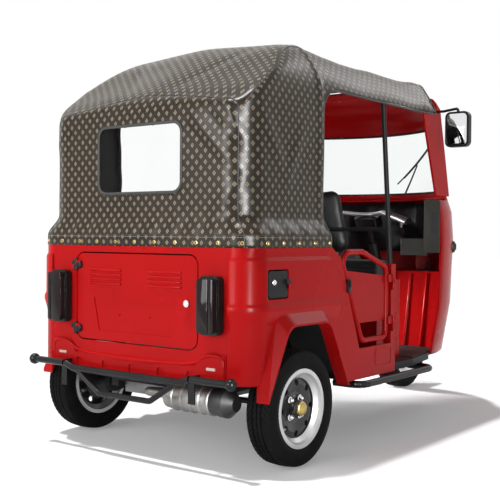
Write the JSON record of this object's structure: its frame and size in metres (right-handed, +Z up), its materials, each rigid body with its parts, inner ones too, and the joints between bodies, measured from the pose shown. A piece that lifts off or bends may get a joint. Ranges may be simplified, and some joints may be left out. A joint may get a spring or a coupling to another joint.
{
  "type": "auto rickshaw",
  "caption": "Red three wheeled auto rickshaw with a dark fabric canopy, low tube doors, round nose, handlebar steering and rear engine lid.",
  "frame": {"origin": "on the ground below the middle of the vehicle, between its ends and sides", "axes": "+X forward along the vehicle, +Y to its left, +Z up"},
  "size_m": [2.7799, 1.602, 1.838],
  "materials": {
    "red_paint": "gloss",
    "black_paint": "satin",
    "canopy_vinyl": "semi-gloss",
    "seat_vinyl": "satin",
    "black_plastic": "satin",
    "grey_plastic": "matt",
    "rubber": "matt",
    "glass": "clear",
    "clear_film": "clear",
    "lamp_lens": "gloss",
    "amber_lens": "gloss",
    "silver_steel": "satin",
    "cast_metal": "matt"
  },
  "bodies": {
    "body": {"chassis_frame": "black_paint", "floor_pan": "red_paint", "floor_mat": "rubber", "toe_board": "red_paint", "front_apron": "red_paint", "windscreen_frame": "red_paint", "windscreen_glass": "glass", "dashboard": "black_plastic", "dash_pockets": "grey_plastic", "headlamps": "glass", "indicators": "amber_lens", "wiper": "black_paint", "mirrors": "black_plastic", "quarter_panel_right": "red_paint", "quarter_panel_left": "red_paint", "rear_panel": "red_paint", "wheel_housings": "black_paint", "fuel_filler": "black_plastic", "tail_lamps": "lamp_lens", "rear_bumper": "black_paint", "side_steps": "black_paint", "driver_seat_box": "red_paint", "driver_seat_cushion": "seat_vinyl", "driver_seat_back": "seat_vinyl", "canopy_frame": "black_paint", "bench_box": "black_paint", "bench_cushion": "seat_vinyl", "bench_back": "seat_vinyl", "canopy_roof": "canopy_vinyl", "canopy_rear": "canopy_vinyl", "canopy_sides": "canopy_vinyl", "rear_window": "clear_film", "engine_block": "cast_metal", "muffler": "silver_steel", "rear_suspension": "black_paint"},
    "steering": {"steering_fork": "black_paint", "handlebar": "black_paint", "instrument_pod": "black_plastic", "front_mudguard": "red_paint"},
    "front_wheel": {"front_tyre": "rubber", "front_wheel": "silver_steel"},
    "rear_wheel_right": {"rear_tyre_right": "rubber", "rear_wheel_right": "silver_steel"},
    "rear_wheel_left": {"rear_tyre_left": "rubber", "rear_wheel_left": "silver_steel"},
    "engine_lid": {"engine_lid": "red_paint"},
    "door_right": {"door_right": "red_paint"},
    "door_left": {"door_left": "red_paint"},
    "fuel_flap": {"fuel_flap": "black_plastic"}
  },
  "joints": [
    {"name": "steering_turn", "type": "hinge", "parent": "body", "child": "steering", "pos_m": [1.043, 0, 0.243], "axis": [-0.402, 0, 0.9157], "range_deg": [-38, 38]},
    {"name": "front_wheel_spin", "type": "hinge", "parent": "steering", "child": "front_wheel", "pos_m": [1.109, 0, 0.243], "axis": [0, 1, 0], "continuous": true},
    {"name": "rear_wheel_right_spin", "type": "hinge", "parent": "body", "child": "rear_wheel_right", "pos_m": [-0.981, -0.598, 0.243], "axis": [0, 1, 0], "continuous": true},
    {"name": "rear_wheel_left_spin", "type": "hinge", "parent": "body", "child": "rear_wheel_left", "pos_m": [-0.981, 0.598, 0.243], "axis": [0, 1, 0], "continuous": true},
    {"name": "engine_lid_hinge", "type": "hinge", "parent": "body", "child": "engine_lid", "pos_m": [-1.314, 0.36, 0.685], "axis": [0, 0, -1], "range_deg": [0, 90]},
    {"name": "door_right_hinge", "type": "hinge", "parent": "body", "child": "door_right", "pos_m": [-0.169, -0.6353, 0.64], "axis": [0, 0, 1], "range_deg": [0, 90]},
    {"name": "door_left_hinge", "type": "hinge", "parent": "body", "child": "door_left", "pos_m": [-0.169, 0.6353, 0.64], "axis": [0, 0, -1], "range_deg": [0, 90]},
    {"name": "fuel_flap_hinge", "type": "hinge", "parent": "body", "child": "fuel_flap", "pos_m": [-1.061, -0.64, 0.764], "axis": [0, 0, 1], "range_deg": [0, 100]}
  ]
}
